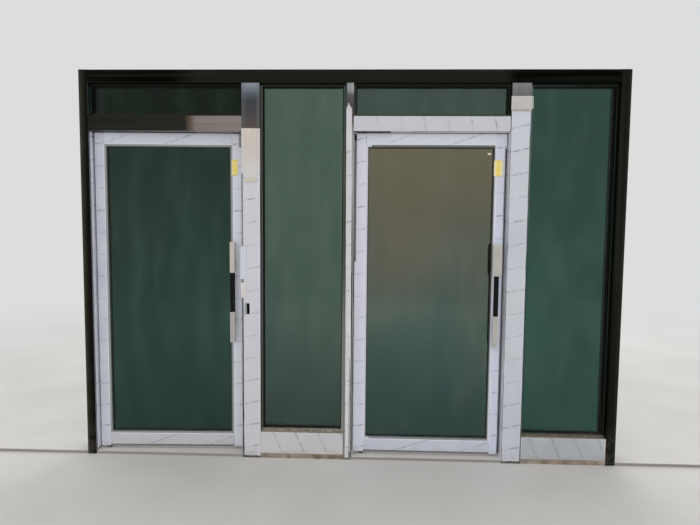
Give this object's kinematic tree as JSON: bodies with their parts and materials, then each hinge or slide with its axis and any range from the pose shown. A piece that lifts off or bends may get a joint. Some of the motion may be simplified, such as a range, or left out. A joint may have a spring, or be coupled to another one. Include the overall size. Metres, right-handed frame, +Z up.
{
  "type": "glass entrance door",
  "caption": "Glazed shop entrance: folded steel frame with swing leaves on floor springs, glazed lights over them and fixed side lights over base panels.",
  "frame": {"origin": "middle of the middle mullion's foot plate, on the slab, at half of the frame's depth", "axes": "+X along the wall to the right seen from outside, +Y through the wall to the inside, +Z up"},
  "size_m": [3.42, 0.2012, 2.4975],
  "materials": {
    "bare_steel": "dark bronze-coloured stainless sheet, smooth and mirror-like",
    "filmed_steel": "the same sheet under white protective film, with print dashes and creases",
    "glass": "green tinted glass, clear and glossy",
    "spacer_aluminium": "mill finish",
    "gasket_rubber": "matt black",
    "seal_rubber": "matt grey",
    "pull_steel": "brushed steel, wrapped in beige paper tape at both ends",
    "grip_plastic": "black, slightly shiny",
    "closer_iron": "painted casting with mortar on it",
    "cover_steel": "plain sheet with mortar dust",
    "pivot_steel": "plain turned and sawn steel"
  },
  "bodies": {
    "frame": {"jamb_left": "bare_steel", "jamb_right": "bare_steel", "header": "bare_steel", "mullion_left": "filmed_steel", "mullion_middle": "filmed_steel", "mullion_right": "filmed_steel", "transom_bar_left": "bare_steel", "transom_bar_right": "filmed_steel", "base_panel_middle": "filmed_steel", "base_panel_right": "filmed_steel", "foot_plates": "pivot_steel", "side_light_middle_glass": "glass", "side_light_middle_beads": "bare_steel", "side_light_middle_gaskets": "gasket_rubber", "side_light_right_glass": "glass", "side_light_right_beads": "bare_steel", "side_light_right_gaskets": "gasket_rubber", "transom_light_left_glass": "glass", "transom_light_left_beads": "bare_steel", "transom_light_left_gaskets": "gasket_rubber", "transom_light_right_glass": "glass", "transom_light_right_beads": "bare_steel", "transom_light_right_gaskets": "gasket_rubber", "fixed_light_spacers": "spacer_aluminium", "top_pivot_left": "pivot_steel", "floor_spring_left": "closer_iron", "floor_cover_left": "cover_steel", "top_pivot_right": "pivot_steel", "floor_spring_right": "closer_iron", "floor_cover_right": "cover_steel"},
    "leaf_left": {"hinge_stile_left": "filmed_steel", "lock_stile_left": "filmed_steel", "top_rail_left": "filmed_steel", "bottom_rail_left": "filmed_steel", "leaf_left_glass": "glass", "leaf_left_spacer": "spacer_aluminium", "leaf_left_beads": "filmed_steel", "leaf_left_gaskets": "gasket_rubber", "edge_seals_left": "seal_rubber", "pulls_left": "pull_steel", "pull_grips_left": "grip_plastic", "pull_studs_left": "pivot_steel", "spindle_left": "pivot_steel", "bottom_arm_left": "pivot_steel", "top_bush_left": "pivot_steel"},
    "leaf_right": {"hinge_stile_right": "filmed_steel", "lock_stile_right": "filmed_steel", "top_rail_right": "filmed_steel", "bottom_rail_right": "filmed_steel", "leaf_right_glass": "glass", "leaf_right_spacer": "spacer_aluminium", "leaf_right_beads": "filmed_steel", "leaf_right_gaskets": "gasket_rubber", "edge_seals_right": "seal_rubber", "pulls_right": "pull_steel", "pull_grips_right": "grip_plastic", "pull_studs_right": "pivot_steel", "spindle_right": "pivot_steel", "bottom_arm_right": "pivot_steel", "top_bush_right": "pivot_steel"}
  },
  "joints": [
    {"name": "door_left_swing", "type": "hinge", "parent": "frame", "child": "leaf_left", "pos_m": [-1.595, 0, 0], "axis": [0, 0, 1], "range_deg": [-92.1, 87.9], "stiffness_Nm_per_rad": 12},
    {"name": "door_right_swing", "type": "hinge", "parent": "frame", "child": "leaf_right", "pos_m": [0.0895, 0, 0], "axis": [0, 0, 1], "range_deg": [-90, 90], "stiffness_Nm_per_rad": 12}
  ]
}
